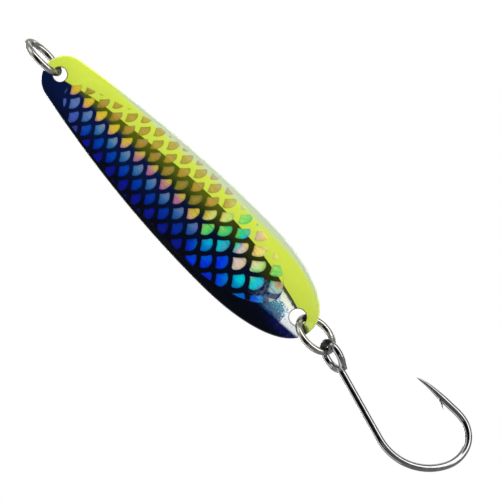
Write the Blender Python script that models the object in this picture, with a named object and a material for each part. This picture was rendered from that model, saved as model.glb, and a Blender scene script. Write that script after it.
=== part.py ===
"""Spoon lure: a cupped, painted metal blade, a wire ring at each end and an open-eye single hook.

Metres, +Z up. The lure hangs from its line tie, so the blade runs down -Z from head to tail.
+X is the yellow edge of the blade, and its painted convex face looks along -Y.
The origin is the top of the hole in the line-tie ring, where a snap or a knot bears.
"""
from math import acos, cos, pi, radians, sin

import bmesh
import bpy
from mathutils import Vector

MM = 0.001

# Blade: "along" is measured from its head end toward its tail end
BLADE_LENGTH = 89.4 * MM
BLADE_HALF_WIDTH = 11.2 * MM
BLADE_THICKNESS = 1.0 * MM
BLADE_WIDEST = 62.4 * MM          # along, where the blade is widest
SIDE_DROP = 1.06 * MM             # how far the side has come in, SIDE_SPAN short of the widest place
SIDE_SPAN = 25.0 * MM
SIDE_POWER = 1.96
HEAD_CAP = 4.8 * MM               # length of the round head
HEAD_POWER = 2.15
TAIL_POWER = 2.22
BELLY = 3.0 * MM                  # lengthwise bow toward -Y
CUP = 2.2 * MM                    # how far the long edges fall back behind the middle
RIM_ROUND = 0.3 * MM
FRONT_HOLE_ALONG = 3.95 * MM
FRONT_HOLE_RADIUS = 1.75 * MM
TAIL_HOLE_ALONG = 84.9 * MM
TAIL_HOLE_RADIUS = 2.05 * MM
BLADE_ROWS = 34
BLADE_COLUMNS = 8
HOLE_SIDES = 24
CUTTER_DEPTH = 8 * MM

# Holographic film on the convex face
FILM_THICKNESS = 0.12 * MM
FILM_GAP = 0.05 * MM
FILM_START = 7.1 * MM             # along
FILM_END = 78.4 * MM              # along
FILM_WIDEST = 49.3 * MM           # along
FILM_INSET = 0.8 * MM             # from the blade's side
FILM_CAP = 7.15 * MM              # length of the film's round head end
FILM_ROWS = 28
FILM_COLUMNS = 8

# Rings: one turn of round wire each, closed at a butt joint
RING_WIRE = 1.7 * MM
RING_MIDDLE_RADIUS = 5.0 * MM     # of the wire's centre line
RING_BUTT_GAP = 0.12 * MM
RING_STEPS = 48
RING_SIDES = 10
LINE_RING_TURN = radians(84.4)    # from the XZ plane, near side toward -X
HOOK_RING_TURN = radians(64.6)
LINE_RING_BUTT = radians(-40)     # from the ring's lowest point, behind the blade
HOOK_RING_BUTT = radians(-140)
HOOK_RING_SHIFT = 0.10 * MM       # along +X
LINK_GAP = 0.20 * MM              # between pieces that hang on each other

# Hook: eye, shank, bend and point are one wire
HOOK_WIRE = 1.8 * MM
HOOK_LEAN = radians(15.2)         # shank's lower end leans toward -X
HOOK_TWIST = radians(33.8)        # turn about the shank, point away from the viewer of the painted face
EYE_SHIFT = 0.3 * MM              # top of the eye along +X from the ring's lowest point
EYE_RADIUS = 3.55 * MM
EYE_ENTRY_RADIUS = 1.8 * MM
EYE_EXIT_RADIUS = 2.0 * MM
EYE_END_OFFSET = 2.05 * MM        # free end's centre beside the shank's
EYE_END_LENGTH = 0.5 * MM
SHANK_LENGTH = 17.5 * MM
BEND = ((43, 13.5), (38, 15.5), (38, 9.1), (68, 6.7), (12, 12.0))   # degrees turned, radius in mm
POINT_LENGTH = 7.6 * MM
POINT_CURL = (15, 19.2)
POINT_TAPER = 8.4 * MM
POINT_POWER = 0.6
POINT_NARROW = 0.04               # of the wire, at the point
EYE_END_TAPER = 0.8 * MM
EYE_END_NARROW = 0.7              # of the wire, at the free end
BARB_TIP = 10.8 * MM              # back from the point
BARB_ROOT = 7.4 * MM
BARB_RISE = 2.15 * MM             # barb tip from the wire's centre line
BARB_WIDTH = 0.50 * MM
BARB_SINK = 0.18 * MM             # barb root from the wire's centre line
BARB_BOW = 0.084 * MM             # how far the barb's middle stands out from the straight line
BARB_SCALES = (2.2, 1.2, 0.1)     # its width at root, middle and tip
BARB_SIDES = 6
HOOK_SIDES = 10
HOOK_STEP = radians(15)


def new_material(name, color, roughness, metallic):
    material = bpy.data.materials.new(name)
    material.use_nodes = True
    shader = material.node_tree.nodes["Principled BSDF"]
    shader.inputs["Base Color"].default_value = (*color, 1.0)
    shader.inputs["Roughness"].default_value = roughness
    shader.inputs["Metallic"].default_value = metallic
    return material


def add_object(name, mesh_data, origin, parent, material):
    """Make an object from world-space mesh data, with its own origin at a world point."""
    bmesh.ops.translate(mesh_data, verts=mesh_data.verts, vec=-origin)
    bmesh.ops.recalc_face_normals(mesh_data, faces=mesh_data.faces)
    mesh = bpy.data.meshes.new(name)
    mesh_data.to_mesh(mesh)
    mesh_data.free()
    mesh.shade_smooth()
    mesh.set_sharp_from_angle(angle=radians(40))
    mesh.materials.append(material)
    obj = bpy.data.objects.new(name, mesh)
    bpy.context.collection.objects.link(obj)
    obj.parent = parent
    obj.location = origin - world_origin(parent)
    return obj


def world_origin(obj):
    origin = Vector((0.0, 0.0, 0.0))
    while obj is not None:
        origin += obj.location
        obj = obj.parent
    return origin


def add_boolean(obj, tool, operation):
    tool.hide_render = True
    tool.display_type = "WIRE"
    modifier = obj.modifiers.new(operation.title(), "BOOLEAN")
    modifier.operation = operation
    modifier.solver = "EXACT"
    modifier.object = tool


def skin_loops(loops):
    """Closed tube through loops of equal length, with a flat cap on each end."""
    mesh_data = bmesh.new()
    rows = [[mesh_data.verts.new(point) for point in loop] for loop in loops]
    count = len(rows[0])
    for row, following in zip(rows, rows[1:]):
        for i in range(count):
            j = (i + 1) % count
            mesh_data.faces.new((row[i], row[j], following[j], following[i]))
    mesh_data.faces.new(rows[0])
    mesh_data.faces.new(rows[-1])
    return mesh_data


# Blade and film

def side_width(along):
    """Half width of the blade's long side, before its head is rounded."""
    short = max(0.0, BLADE_WIDEST - along)
    return BLADE_HALF_WIDTH - SIDE_DROP * (short / SIDE_SPAN) ** SIDE_POWER


def round_end(distance, length, power):
    """Factor from 0 at a rounded end to 1 at the given length from it."""
    left = max(0.0, 1.0 - distance / length)
    return max(0.0, 1.0 - left ** power) ** (1.0 / power)


def blade_half_width(along):
    if along < BLADE_WIDEST:
        return side_width(along) * round_end(along, HEAD_CAP, HEAD_POWER)
    return BLADE_HALF_WIDTH * round_end(BLADE_LENGTH - along, BLADE_LENGTH - BLADE_WIDEST, TAIL_POWER)


def film_half_width(along):
    if along < FILM_WIDEST:
        return (side_width(along) - FILM_INSET) * round_end(along - FILM_START, FILM_CAP, 2.0)
    widest = side_width(FILM_WIDEST) - FILM_INSET
    return widest * round_end(FILM_END - along, FILM_END - FILM_WIDEST, 2.0)


def middle_depth(along, across):
    """Y of the blade's middle surface; it is 0 at both holes."""
    bow = sin(pi * along / BLADE_LENGTH) - sin(pi * FRONT_HOLE_ALONG / BLADE_LENGTH)
    return CUP * (across / BLADE_HALF_WIDTH) ** 2 - BELLY * bow


def outline(half_width, start, end, rows):
    """(along, half width) pairs from end to end, closer together where the ends are round."""
    pairs = []
    for row in range(rows + 1):
        along = start + (end - start) * (1.0 - cos(pi * row / rows)) / 2.0
        pairs.append((along, half_width(along)))
    pairs[0] = (start, 0.0)
    pairs[-1] = (end, 0.0)
    return pairs


def inset_outline(pairs, distance):
    """The outline moved inward; its two end points stay on the middle line."""
    moved = [(pairs[0][0] + distance, 0.0)]
    for before, here, after in zip(pairs, pairs[1:], pairs[2:]):
        run = Vector((after[0] - before[0], after[1] - before[1])).normalized()
        moved.append((here[0] + run.y * distance, max(0.0, here[1] - run.x * distance)))
    moved.append((pairs[-1][0] - distance, 0.0))
    return moved


def blade_point(along, across, height):
    """Height is measured from the middle surface toward the painted side."""
    return Vector((across, middle_depth(along, across) - height, blade_top - along))


def add_rim(mesh_data, pairs, height):
    """One closed loop of vertices round an outline: head, right side, tail, left side."""
    right = [mesh_data.verts.new(blade_point(along, half, height)) for along, half in pairs]
    left = [mesh_data.verts.new(blade_point(along, -half, height)) for along, half in pairs[-2:0:-1]]
    return right + left


def fill_face(mesh_data, rim, pairs, columns, height):
    """Quads across the outline between the two sides of its rim, with a fan at each end."""
    last = len(pairs) - 1
    rows = []
    for index in range(1, last):
        along, half = pairs[index]
        row = [rim[len(rim) - index]]
        for column in range(1, columns):
            across = half * (2.0 * column / columns - 1.0)
            row.append(mesh_data.verts.new(blade_point(along, across, height)))
        row.append(rim[index])
        rows.append(row)
    for row, following in zip(rows, rows[1:]):
        for i in range(columns):
            mesh_data.faces.new((row[i], row[i + 1], following[i + 1], following[i]))
    for i in range(columns):
        mesh_data.faces.new((rim[0], rows[0][i + 1], rows[0][i]))
        mesh_data.faces.new((rim[last], rows[-1][i], rows[-1][i + 1]))


def plate(layers, columns):
    """Closed plate from (outline, height) layers, back face first and painted face last."""
    mesh_data = bmesh.new()
    rims = [add_rim(mesh_data, pairs, height) for pairs, height in layers]
    count = len(rims[0])
    for rim, following in zip(rims, rims[1:]):
        for i in range(count):
            j = (i + 1) % count
            mesh_data.faces.new((rim[i], rim[j], following[j], following[i]))
    fill_face(mesh_data, rims[0], layers[0][0], columns, layers[0][1])
    fill_face(mesh_data, rims[-1], layers[-1][0], columns, layers[-1][1])
    return mesh_data


def hole_cutter(name, center, radius, parent):
    mesh_data = bmesh.new()
    bmesh.ops.create_cone(mesh_data, cap_ends=True, segments=HOLE_SIDES, radius1=radius, radius2=radius,
                          depth=CUTTER_DEPTH)
    for vert in mesh_data.verts:
        vert.co = Vector((vert.co.x, -vert.co.z, vert.co.y)) + center
    return add_object(name, mesh_data, center, parent, steel)


def make_blade(front_hole, tail_hole):
    half = BLADE_THICKNESS / 2
    full = outline(blade_half_width, 0.0, BLADE_LENGTH, BLADE_ROWS)
    small = inset_outline(full, RIM_ROUND)
    layers = [(small, -half), (full, RIM_ROUND - half), (full, half - RIM_ROUND), (small, half)]
    blade = add_object("blade", plate(layers, BLADE_COLUMNS), front_hole, None, paint)
    for name, center, radius in (("front_hole_cutter", front_hole, FRONT_HOLE_RADIUS),
                                 ("tail_hole_cutter", tail_hole, TAIL_HOLE_RADIUS)):
        add_boolean(blade, hole_cutter(name, center, radius, blade), "DIFFERENCE")
    return blade


def make_film(blade):
    edge = outline(film_half_width, FILM_START, FILM_END, FILM_ROWS)
    bottom = BLADE_THICKNESS / 2 + FILM_GAP
    layers = [(edge, bottom), (edge, bottom + FILM_THICKNESS)]
    return add_object("scale_foil", plate(layers, FILM_COLUMNS), world_origin(blade), blade, foil)


# Rings

def make_ring(name, center, turn, butt, origin, parent):
    """An upright ring; its near side is turned toward -X from the XZ plane."""
    near = Vector((-cos(turn), -sin(turn), 0.0))
    up = Vector((0.0, 0.0, 1.0))
    axis = near.cross(up)
    half_gap = RING_BUTT_GAP / 2 / RING_MIDDLE_RADIUS
    loops = []
    for step in range(RING_STEPS + 1):
        angle = butt + half_gap + (2 * pi - 2 * half_gap) * step / RING_STEPS
        outward = near * sin(angle) - up * cos(angle)
        loop = []
        for side in range(RING_SIDES):
            around = 2 * pi * (side + 0.5) / RING_SIDES
            reach = RING_MIDDLE_RADIUS + RING_WIRE / 2 * cos(around)
            loop.append(center + outward * reach + axis * (RING_WIRE / 2 * sin(around)))
        loops.append(loop)
    return add_object(name, skin_loops(loops), origin, parent, nickel)


# Hook

def trace(start, heading, moves):
    """Follow arcs and straight runs in a plane. A move is (angle, radius) or (0, length)."""
    x, y = start
    points = [start]
    for angle, size in moves:
        count = max(1, round(abs(angle) / HOOK_STEP)) if angle else 4
        for _ in range(count):
            turned = angle / count
            chord = 2 * size * sin(abs(turned) / 2) if angle else size / count
            x += chord * cos(heading + turned / 2)
            y += chord * sin(heading + turned / 2)
            heading += turned
            points.append((x, y))
    return points


def hook_path(eye_top):
    """Centre line from the eye's free end to the point, and the direction toward the shank."""
    down = Vector((-sin(HOOK_LEAN), 0.0, -cos(HOOK_LEAN)))
    flat = Vector((cos(HOOK_LEAN), 0.0, -sin(HOOK_LEAN)))
    away = Vector((0.0, 1.0, 0.0))
    toward_point = flat * cos(HOOK_TWIST) + away * sin(HOOK_TWIST)
    eye_side = flat * sin(HOOK_TWIST) - away * cos(HOOK_TWIST)
    entry = acos(EYE_ENTRY_RADIUS / (EYE_RADIUS + EYE_ENTRY_RADIUS))
    junction = eye_top + down * (EYE_RADIUS + (EYE_RADIUS + EYE_ENTRY_RADIUS) * sin(entry))
    leave = acos((EYE_EXIT_RADIUS + EYE_END_OFFSET) / (EYE_RADIUS + EYE_EXIT_RADIUS))
    eye = trace((0.0, 0.0), pi, [(entry, EYE_ENTRY_RADIUS), (-(pi + entry + leave), EYE_RADIUS),
                                 (leave, EYE_EXIT_RADIUS), (0, EYE_END_LENGTH)])
    arcs = [(radians(angle), radius * MM) for angle, radius in BEND]
    curl = (radians(POINT_CURL[0]), POINT_CURL[1] * MM)
    bend = trace((0.0, 0.0), 0.0, [(0, SHANK_LENGTH)] + arcs + [(0, POINT_LENGTH), curl])
    path = [junction + down * x + eye_side * y for x, y in reversed(eye)]
    path += [junction + down * x + toward_point * y for x, y in bend[1:]]
    return path, -toward_point


def lengths_along(path):
    total = 0.0
    lengths = [0.0]
    for a, b in zip(path, path[1:]):
        total += (b - a).length
        lengths.append(total)
    return lengths


def wire_scale(from_start, from_end):
    """Wire thickness as a fraction, narrowed at the eye's free end and ground to a point."""
    eye_end = EYE_END_NARROW + (1 - EYE_END_NARROW) * min(1.0, from_start / EYE_END_TAPER)
    ground = min(1.0, from_end / POINT_TAPER) ** POINT_POWER
    return eye_end * max(POINT_NARROW, ground)


def sweep_wire(path, scales, width, sides):
    """Round tube along a path, its section carried from point to point without twisting."""
    loops = []
    side = None
    for index, point in enumerate(path):
        before = path[max(0, index - 1)]
        after = path[min(len(path) - 1, index + 1)]
        tangent = (after - before).normalized()
        side = tangent.orthogonal() if side is None else side - tangent * side.dot(tangent)
        side.normalize()
        other = tangent.cross(side)
        radius = width / 2 * scales[index]
        loops.append([point + (side * cos(2 * pi * i / sides) + other * sin(2 * pi * i / sides)) * radius
                      for i in range(sides)])
    return skin_loops(loops)


def point_back_from_tip(path, distance):
    for a, b in zip(reversed(path), reversed(path[:-1])):
        step = (b - a).length
        if distance <= step:
            return a + (b - a) * (distance / step)
        distance -= step
    return path[0]


def make_hook(origin, parent):
    eye_top = origin + Vector((EYE_SHIFT, 0.0, RING_WIRE / 2 + HOOK_WIRE / 2 + LINK_GAP))
    path, inward = hook_path(eye_top)
    lengths = lengths_along(path)
    scales = [wire_scale(length, lengths[-1] - length) for length in lengths]
    hook = add_object("hook", sweep_wire(path, scales, HOOK_WIRE, HOOK_SIDES), origin, parent, steel)
    tip = point_back_from_tip(path, BARB_TIP) + inward * BARB_RISE
    root = point_back_from_tip(path, BARB_ROOT) + inward * BARB_SINK
    middle = (tip + root) / 2 + inward * BARB_BOW
    barb_data = sweep_wire([root, middle, tip], BARB_SCALES, BARB_WIDTH, BARB_SIDES)
    barb = add_object("barb_tool", barb_data, origin, parent, steel)
    add_boolean(hook, barb, "UNION")
    return hook


for old in list(bpy.data.objects):
    bpy.data.objects.remove(old)

nickel = new_material("bright_nickel", (0.80, 0.80, 0.79), 0.18, 1.0)
steel = new_material("black_nickel_steel", (0.20, 0.20, 0.21), 0.22, 1.0)
paint = new_material("painted_metal", (0.30, 0.40, 0.10), 0.15, 0.3)
foil = new_material("holographic_film", (0.35, 0.45, 0.70), 0.20, 0.8)

ring_inner = RING_MIDDLE_RADIUS - RING_WIRE / 2
line_ring_center = Vector((0.0, 0.0, -ring_inner))
front_hole_center = Vector((0.0, 0.0, LINK_GAP - 2 * ring_inner - FRONT_HOLE_RADIUS))
blade_top = front_hole_center.z + FRONT_HOLE_ALONG
tail_hole_center = Vector((0.0, 0.0, blade_top - TAIL_HOLE_ALONG))
hook_ring_drop = TAIL_HOLE_RADIUS + ring_inner - LINK_GAP
hook_ring_center = tail_hole_center + Vector((HOOK_RING_SHIFT, 0.0, -hook_ring_drop))
hook_pivot = hook_ring_center - Vector((0.0, 0.0, RING_MIDDLE_RADIUS))

make_ring("line_ring", line_ring_center, LINE_RING_TURN, LINE_RING_BUTT, Vector(), None)
lure_blade = make_blade(front_hole_center, tail_hole_center)
make_film(lure_blade)
hook_ring = make_ring("hook_ring", hook_ring_center, HOOK_RING_TURN, HOOK_RING_BUTT,
                      tail_hole_center, lure_blade)
make_hook(hook_pivot, hook_ring)
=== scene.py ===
"""Looks of the spoon lure: the blade, film, rings and hook in fine meshes with procedural finishes."""
from math import acos, ceil, cos, pi, prod, radians, sin, sqrt

import bmesh
import bpy
from mathutils import Matrix, Vector
from mathutils.geometry import delaunay_2d_cdt
from mathutils.kdtree import KDTree


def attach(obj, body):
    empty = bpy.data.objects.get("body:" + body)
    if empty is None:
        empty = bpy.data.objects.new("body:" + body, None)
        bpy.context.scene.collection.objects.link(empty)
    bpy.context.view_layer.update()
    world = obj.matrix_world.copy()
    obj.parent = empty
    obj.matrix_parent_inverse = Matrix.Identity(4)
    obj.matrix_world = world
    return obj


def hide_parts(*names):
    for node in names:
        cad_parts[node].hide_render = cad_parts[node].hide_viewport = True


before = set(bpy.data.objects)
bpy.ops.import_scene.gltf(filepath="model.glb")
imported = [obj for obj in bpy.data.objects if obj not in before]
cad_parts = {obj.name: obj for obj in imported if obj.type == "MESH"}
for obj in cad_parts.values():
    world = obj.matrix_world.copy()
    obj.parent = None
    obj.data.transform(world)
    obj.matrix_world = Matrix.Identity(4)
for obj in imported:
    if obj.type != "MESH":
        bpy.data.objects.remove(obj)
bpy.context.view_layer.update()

MM = 0.001
UP = Vector((0.0, 0.0, 1.0))

# Blade, as in the CAD; "along" is measured from its head end toward its tail end
BLADE_LENGTH = 89.4 * MM
BLADE_HALF_WIDTH = 11.2 * MM
BLADE_THICKNESS = 1.0 * MM
BLADE_WIDEST = 62.4 * MM
SIDE_DROP = 1.06 * MM
SIDE_SPAN = 25.0 * MM
SIDE_POWER = 1.96
HEAD_CAP = 4.8 * MM
HEAD_POWER = 2.15
TAIL_POWER = 2.22
BELLY = 3.0 * MM
CUP = 2.2 * MM
RIM_ROUND = 0.34 * MM
HOLE_ROUND = 0.22 * MM
FRONT_HOLE_ALONG = 3.95 * MM
FRONT_HOLE_RADIUS = 1.75 * MM
TAIL_HOLE_ALONG = 84.9 * MM
TAIL_HOLE_RADIUS = 2.05 * MM
HOLES = ((FRONT_HOLE_ALONG, FRONT_HOLE_RADIUS), (TAIL_HOLE_ALONG, TAIL_HOLE_RADIUS))

# Meshing of the blade and the film
BLADE_ROWS = 170
HOLE_POINTS = 64
ROUND_STEPS = 5
SKIRT = 0.15 * MM        # flat strip past a rounded edge
FACE_GRID = 0.9 * MM
GRID_ROW = 0.87          # rows of a triangle grid lie this many sides apart
GRID_GAP = 0.5           # least distance from a grid point to an edge point, in sides
HOLE_CLEAR = 0.6 * MM
MERGE = 1e-7
SHARP_ANGLE = radians(50)
PAINTED = 0              # material numbers on the blade
PLATED = 1

# Film under the lacquer
FILM_START = 7.1 * MM
FILM_END = 78.4 * MM
FILM_WIDEST = 49.3 * MM
FILM_INSET = 0.8 * MM
FILM_CAP = 7.15 * MM
FILM_ROWS = 130
FILM_BOTTOM = BLADE_THICKNESS / 2 + 0.01 * MM
FILM_EDGE = ((0.0, 0.005), (0.2, 0.02), (0.5, 0.04), (1.0, 0.06))   # inset and height above it, mm

# Rings
RING_WIRE = 1.7 * MM
RING_MIDDLE_RADIUS = 5.0 * MM
RING_BUTT_GAP = 0.12 * MM
RING_STEPS = 180
LINE_RING_TURN = radians(84.4)
HOOK_RING_TURN = radians(64.6)
LINE_RING_BUTT = radians(-40)
HOOK_RING_BUTT = radians(-140)
HOOK_RING_SHIFT = 0.10 * MM
LINK_GAP = 0.20 * MM
END_ROUND = 0.15 * MM

# Hook
HOOK_WIRE = 1.8 * MM
HOOK_LEAN = radians(15.2)
HOOK_TWIST = radians(33.8)
EYE_SHIFT = 0.3 * MM
EYE_RADIUS = 3.55 * MM
EYE_ENTRY_RADIUS = 1.8 * MM
EYE_EXIT_RADIUS = 2.0 * MM
EYE_END_OFFSET = 2.05 * MM
EYE_END_LENGTH = 0.5 * MM
SHANK_LENGTH = 17.5 * MM
BEND = ((43, 13.5), (38, 15.5), (38, 9.1), (68, 6.7), (12, 12.0))   # degrees turned, radius in mm
POINT_LENGTH = 7.6 * MM
POINT_CURL = (15, 19.2)
POINT_TAPER = 8.4 * MM
POINT_POWER = 0.6
POINT_NARROW = 0.04
EYE_END_TAPER = 0.8 * MM
EYE_END_NARROW = 0.7
BARB_TIP = 10.8 * MM
BARB_ROOT = 7.4 * MM
BARB_RISE = 2.15 * MM
BARB_SINK = 0.18 * MM
BARB_WIDTH = 0.50 * MM
BARB_SCALES = (2.2, 2.0, 1.6, 1.2, 0.8, 0.4, 0.08)   # width from root to tip
BARB_SIDES = 12
ARC_STEP = radians(3)
STRAIGHT_STEP = 0.35 * MM
WIRE_SIDES = 24

# Camera: a long lens at the height of the lure, turned a little toward its yellow edge
CAMERA_YAW = radians(8.6)
CAMERA_LENS = 1200
SENSOR = 36
CAMERA_CLIP = (0.1, 100.0)
FRAME_WIDTH = 119.15 * MM
AIM_ACROSS = 3.06 * MM
AIM_HEIGHT = -71.43 * MM
PICTURE_TILT = radians(45.56)   # how far below the picture's right the way down the lure points

line_ring_center = Vector((0.0, 0.0, RING_WIRE / 2 - RING_MIDDLE_RADIUS))
front_hole_z = LINK_GAP - 2 * (RING_MIDDLE_RADIUS - RING_WIRE / 2) - FRONT_HOLE_RADIUS
blade_top = front_hole_z + FRONT_HOLE_ALONG
hook_ring_drop = TAIL_HOLE_RADIUS + RING_MIDDLE_RADIUS - RING_WIRE / 2 - LINK_GAP
hook_ring_center = Vector((HOOK_RING_SHIFT, 0.0, blade_top - TAIL_HOLE_ALONG - hook_ring_drop))
hook_pivot = hook_ring_center - Vector((0.0, 0.0, RING_MIDDLE_RADIUS))


# ---------------------------------------------------------------- meshes

def side_width(along):
    short = max(0.0, BLADE_WIDEST - along)
    return BLADE_HALF_WIDTH - SIDE_DROP * (short / SIDE_SPAN) ** SIDE_POWER


def round_end(distance, length, power):
    left = max(0.0, 1.0 - max(0.0, distance) / length)
    return max(0.0, 1.0 - left ** power) ** (1.0 / power)


def blade_half_width(along):
    if along < BLADE_WIDEST:
        return side_width(along) * round_end(along, HEAD_CAP, HEAD_POWER)
    return BLADE_HALF_WIDTH * round_end(BLADE_LENGTH - along, BLADE_LENGTH - BLADE_WIDEST, TAIL_POWER)


def film_half_width(along):
    if along < FILM_WIDEST:
        return (side_width(along) - FILM_INSET) * round_end(along - FILM_START, FILM_CAP, 2.0)
    widest = side_width(FILM_WIDEST) - FILM_INSET
    return widest * round_end(FILM_END - along, FILM_END - FILM_WIDEST, 2.0)


def middle_depth(along, across):
    """Y of the blade's middle surface; it is 0 at both holes."""
    bow = sin(pi * along / BLADE_LENGTH) - sin(pi * FRONT_HOLE_ALONG / BLADE_LENGTH)
    return CUP * (across / BLADE_HALF_WIDTH) ** 2 - BELLY * bow


def face_normal(along, across):
    """Unit vector out of the painted side of the middle surface."""
    slope_x = 2 * CUP * across / BLADE_HALF_WIDTH ** 2
    slope_z = BELLY * pi / BLADE_LENGTH * cos(pi * along / BLADE_LENGTH)
    return Vector((slope_x, -1.0, slope_z)).normalized()


def outline_loop(half_width, start, end, rows):
    """Closed loop of (across, along), closer together where the ends are round."""
    right = []
    for row in range(1, rows):
        along = start + (end - start) * (1.0 - cos(pi * row / rows)) / 2.0
        right.append((half_width(along), along))
    left = [(-across, along) for across, along in reversed(right)]
    return [(0.0, start)] + right + [(0.0, end)] + left


def circle_loop(along, radius, count):
    turns = [2 * pi * i / count for i in range(count)]
    return [(radius * cos(turn), along + radius * sin(turn)) for turn in turns]


def offset_loop(loop, distance, outward):
    """The loop moved sideways, inward for an outline and outward for a hole."""
    moved = []
    count = len(loop)
    for i, here in enumerate(loop):
        before = Vector(loop[i - 1])
        after = Vector(loop[(i + 1) % count])
        run = (after - before).normalized()
        side = Vector((run.y, -run.x)) if outward else Vector((-run.y, run.x))
        moved.append(tuple(Vector(here) + side * distance))
    return moved


def signed_area(loop):
    return sum(a[0] * b[1] - b[0] * a[1] for a, b in zip(loop, loop[1:] + loop[:1])) / 2


def inside(point, loop):
    x, y = point
    odd = False
    for (ax, ay), (bx, by) in zip(loop, loop[1:] + loop[:1]):
        if (ay > y) != (by > y) and x < ax + (y - ay) / (by - ay) * (bx - ax):
            odd = not odd
    return odd


def rounding(radius):
    """(inset, rise) pairs of a quarter round, from the wall to the face, and one pair past it."""
    pairs = []
    for step in range(ROUND_STEPS + 1):
        angle = pi / 2 * step / ROUND_STEPS
        pairs.append((radius * (1 - cos(angle)), radius * (sin(angle) - 1)))
    return pairs + [(radius + SKIRT, 0.0)]


def distance_finder(points):
    """Function that gives the distance from a place to the nearest of some flat points."""
    tree = KDTree(len(points))
    for i, (x, y) in enumerate(points):
        tree.insert((x, y, 0.0), i)
    tree.balance()
    return lambda x, y: tree.find((x, y, 0.0))[2]


def grid_points(outline, hole_loops, edge_points):
    """Staggered grid inside the outline, clear of the holes and of the points along every edge."""
    to_edge = distance_finder(edge_points)
    low = min(y for x, y in outline)
    high = max(y for x, y in outline)
    wide = max(x for x, y in outline)
    hole_rings = [(sum(p[1] for p in loop) / len(loop), loop[0][0] + HOLE_CLEAR) for loop in hole_loops]
    rows = ceil((high - low) / (FACE_GRID * GRID_ROW))
    columns = ceil(2 * wide / FACE_GRID)
    points = []
    for row in range(1, rows):
        y = low + (high - low) * row / rows
        for column in range(1, columns):
            x = wide * (2 * (column + 0.5 * (row % 2)) / columns - 1)
            clear = all(sqrt(x * x + (y - center) ** 2) > radius for center, radius in hole_rings)
            if clear and inside((x, y), outline) and to_edge(x, y) > GRID_GAP * FACE_GRID:
                points.append((x, y))
    return points


def plate_side(mesh_data, outline, outer_profile, holes, height, sign, material_index):
    """One face of a plate: rounded rim, rounded holes and an even grid between them.

    Returns the wall edge of the outline and of each hole, as rows of points.
    """
    points = []
    heights = []
    edges = []
    walls = []
    for loop, profile, outward in [(outline, outer_profile, False)] + holes:
        if signed_area(loop) < 0:
            loop = loop[::-1]
        for number, (inset, rise) in enumerate(profile):
            first = len(points)
            ring = offset_loop(loop, inset, outward) if inset else loop
            points += ring
            heights += [height + rise] * len(ring)
            edges += [(first + i, first + (i + 1) % len(ring)) for i in range(len(ring))]
            if number == 0:
                walls.append(range(first, first + len(ring)))
    hole_loops = [loop for loop, profile, outward in holes]
    points += grid_points(outline, hole_loops, points)
    heights += [height] * (len(points) - len(heights))
    made = delaunay_2d_cdt([Vector(p) / MM for p in points], edges, [], 0, 1e-6)
    flat_verts, _, faces, originals = made[:4]
    rim_layer = mesh_data.verts.layers.float["rim_distance"]
    edge_layer = mesh_data.verts.layers.float["blade_edge_distance"]
    to_rim = distance_finder(outline)
    to_blade_edge = distance_finder(outline_loop(blade_half_width, 0.0, BLADE_LENGTH, BLADE_ROWS))
    verts = []
    by_input = {}
    for co, origin in zip(flat_verts, originals):
        across, along = co.x * MM, co.y * MM
        lift = heights[origin[0]] if origin else height
        center = Vector((across, middle_depth(along, across), blade_top - along))
        vert = mesh_data.verts.new(center + face_normal(along, across) * lift * sign)
        vert[rim_layer] = to_rim(across, along) / MM
        vert[edge_layer] = to_blade_edge(across, along) / MM
        verts.append(vert)
        for index in origin:
            by_input[index] = vert
    for face in faces:
        middle = [sum(flat_verts[i][axis] for i in face) / len(face) * MM for axis in (0, 1)]
        if inside(middle, outline) and not any(inside(middle, loop) for loop in hole_loops):
            made_face = mesh_data.faces.new([verts[i] for i in face])
            made_face.material_index = material_index
    return [[by_input[i] for i in wall] for wall in walls]


def place(name, data):
    obj = bpy.data.objects.new(name, data)
    bpy.context.collection.objects.link(obj)
    return obj


def finish_mesh(name, mesh_data, materials):
    bmesh.ops.remove_doubles(mesh_data, verts=mesh_data.verts, dist=MERGE)
    bmesh.ops.recalc_face_normals(mesh_data, faces=mesh_data.faces)
    mesh = bpy.data.meshes.new(name)
    mesh_data.to_mesh(mesh)
    mesh_data.free()
    mesh.shade_smooth()
    mesh.set_sharp_from_angle(angle=SHARP_ANGLE)
    for material in materials:
        mesh.materials.append(material)
    return place(name, mesh)


def join_walls(mesh_data, front, back):
    """Faces of the rim and of the holes, between the two sides of a plate."""
    for rim, other in zip(front, back):
        count = len(rim)
        for i in range(count):
            j = (i + 1) % count
            face = mesh_data.faces.new((rim[i], rim[j], other[j], other[i]))
            face.material_index = PAINTED


def plate_mesh():
    """Empty mesh whose points keep their distance to their own rim and to the blade's edge, in mm."""
    mesh_data = bmesh.new()
    mesh_data.verts.layers.float.new("rim_distance")
    mesh_data.verts.layers.float.new("blade_edge_distance")
    return mesh_data


def make_blade(materials):
    mesh_data = plate_mesh()
    outline = outline_loop(blade_half_width, 0.0, BLADE_LENGTH, BLADE_ROWS)
    hole_edge = rounding(HOLE_ROUND)
    holes = [(circle_loop(along, radius, HOLE_POINTS), hole_edge, True) for along, radius in HOLES]
    half = BLADE_THICKNESS / 2
    rim = rounding(RIM_ROUND)
    front = plate_side(mesh_data, outline, rim, holes, half, 1, PAINTED)
    back = plate_side(mesh_data, outline, rim, holes, half, -1, PLATED)
    join_walls(mesh_data, front, back)
    return finish_mesh("painted_blade", mesh_data, materials)


def make_film(materials):
    mesh_data = plate_mesh()
    outline = outline_loop(film_half_width, FILM_START, FILM_END, FILM_ROWS)
    thickness = FILM_EDGE[-1][1]
    top_edge = [(inset * MM, (rise - thickness) * MM) for inset, rise in FILM_EDGE]
    top = FILM_BOTTOM + thickness * MM
    front = plate_side(mesh_data, outline, top_edge, [], top, 1, PAINTED)
    back = plate_side(mesh_data, outline, [(0.0, 0.0)], [], FILM_BOTTOM, 1, PAINTED)
    join_walls(mesh_data, front, back)
    return finish_mesh("scale_film", mesh_data, materials)


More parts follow.
